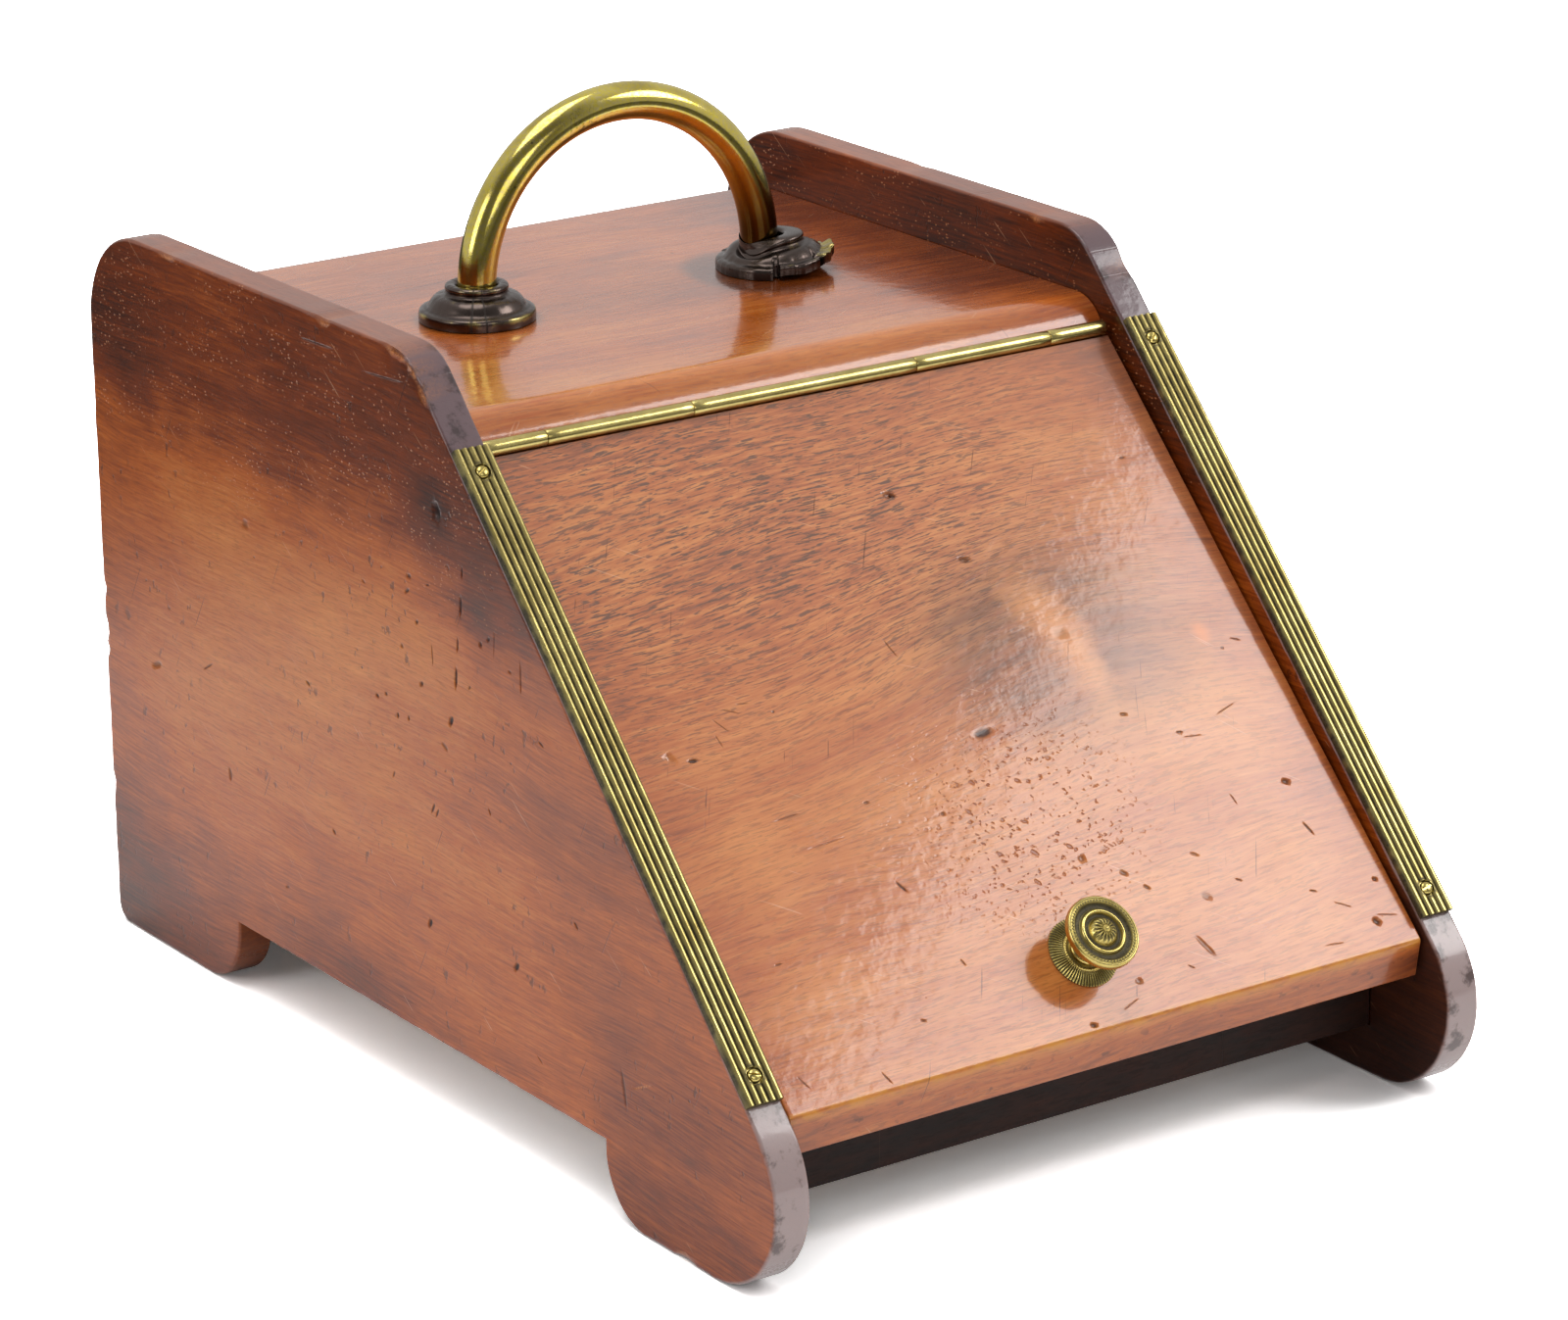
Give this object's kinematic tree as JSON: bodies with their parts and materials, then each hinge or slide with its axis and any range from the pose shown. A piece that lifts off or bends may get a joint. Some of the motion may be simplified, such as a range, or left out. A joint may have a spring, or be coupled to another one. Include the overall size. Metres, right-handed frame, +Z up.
{
  "type": "coal scuttle",
  "caption": "Box-shaped wooden coal scuttle with a sloping hinged lid, brass bow handle, brass knob, reeded brass edge strips and a removable metal liner.",
  "frame": {"origin": "on the ground, under the middle of the case's width and depth", "axes": "+Z up, +X to the right as seen from the front, +Y to the back: the sloping lid faces -Y"},
  "size_m": [0.34, 0.5, 0.374],
  "materials": {
    "mahogany": "glossy french-polished red-brown mahogany, worn and dented",
    "mahogany_plain": "thinly stained, dull",
    "pine": "bare, dusty softwood",
    "brass": "polished on the high places, dark in the recesses",
    "aged_brass": "dark patina, worn bright on the rims",
    "steel": "plain, slightly dull",
    "japanned_steel": "black japanned sheet, scuffed"
  },
  "bodies": {
    "case": {"back_board": "mahogany_plain", "back_screw_1": "steel", "back_screw_2": "steel", "back_screw_3": "steel", "bottom_block_left_1": "pine", "bottom_block_left_2": "pine", "bottom_block_right_1": "pine", "bottom_block_right_2": "pine", "bottom_board": "pine", "coal_liner": "japanned_steel", "front_rail": "mahogany", "handle": "brass", "handle_cup_left": "aged_brass", "handle_cup_right": "aged_brass", "handle_nut_left": "steel", "handle_nut_right": "steel", "handle_washer_left": "steel", "handle_washer_right": "steel", "hinge_leaf_fixed": "brass", "hinge_pin": "steel", "hinge_screw_fixed_1": "brass", "hinge_screw_fixed_2": "brass", "hinge_screw_fixed_3": "brass", "hinge_screw_fixed_4": "brass", "liner_ear_left": "japanned_steel", "liner_ear_right": "japanned_steel", "liner_rivet_left_1": "steel", "liner_rivet_left_2": "steel", "liner_rivet_right_1": "steel", "liner_rivet_right_2": "steel", "reeded_strip_left": "brass", "reeded_strip_right": "brass", "side_panel_left": "mahogany", "side_panel_right": "mahogany", "strip_screw_left_1": "brass", "strip_screw_left_2": "brass", "strip_screw_right_1": "brass", "strip_screw_right_2": "brass", "top_block_back": "pine", "top_block_left": "pine", "top_block_right": "pine", "top_board": "mahogany"},
    "lid": {"hinge_leaf_moving": "brass", "hinge_screw_moving_1": "brass", "hinge_screw_moving_2": "brass", "hinge_screw_moving_3": "brass", "hinge_screw_moving_4": "brass", "knob": "brass", "knob_backplate": "brass", "lid": "mahogany"},
    "bail": {"liner_bail": "steel"}
  },
  "joints": [
    {"name": "lid_hinge", "type": "hinge", "parent": "case", "child": "lid", "pos_m": [0, -0.0293, 0.2741], "axis": [-1, 0, 0], "range_deg": [0, 187]},
    {"name": "bail_hinge", "type": "hinge", "parent": "case", "child": "bail", "pos_m": [0, 0.02, 0.16246], "axis": [-1, 0, 0], "range_deg": [0, 186.9]}
  ]
}
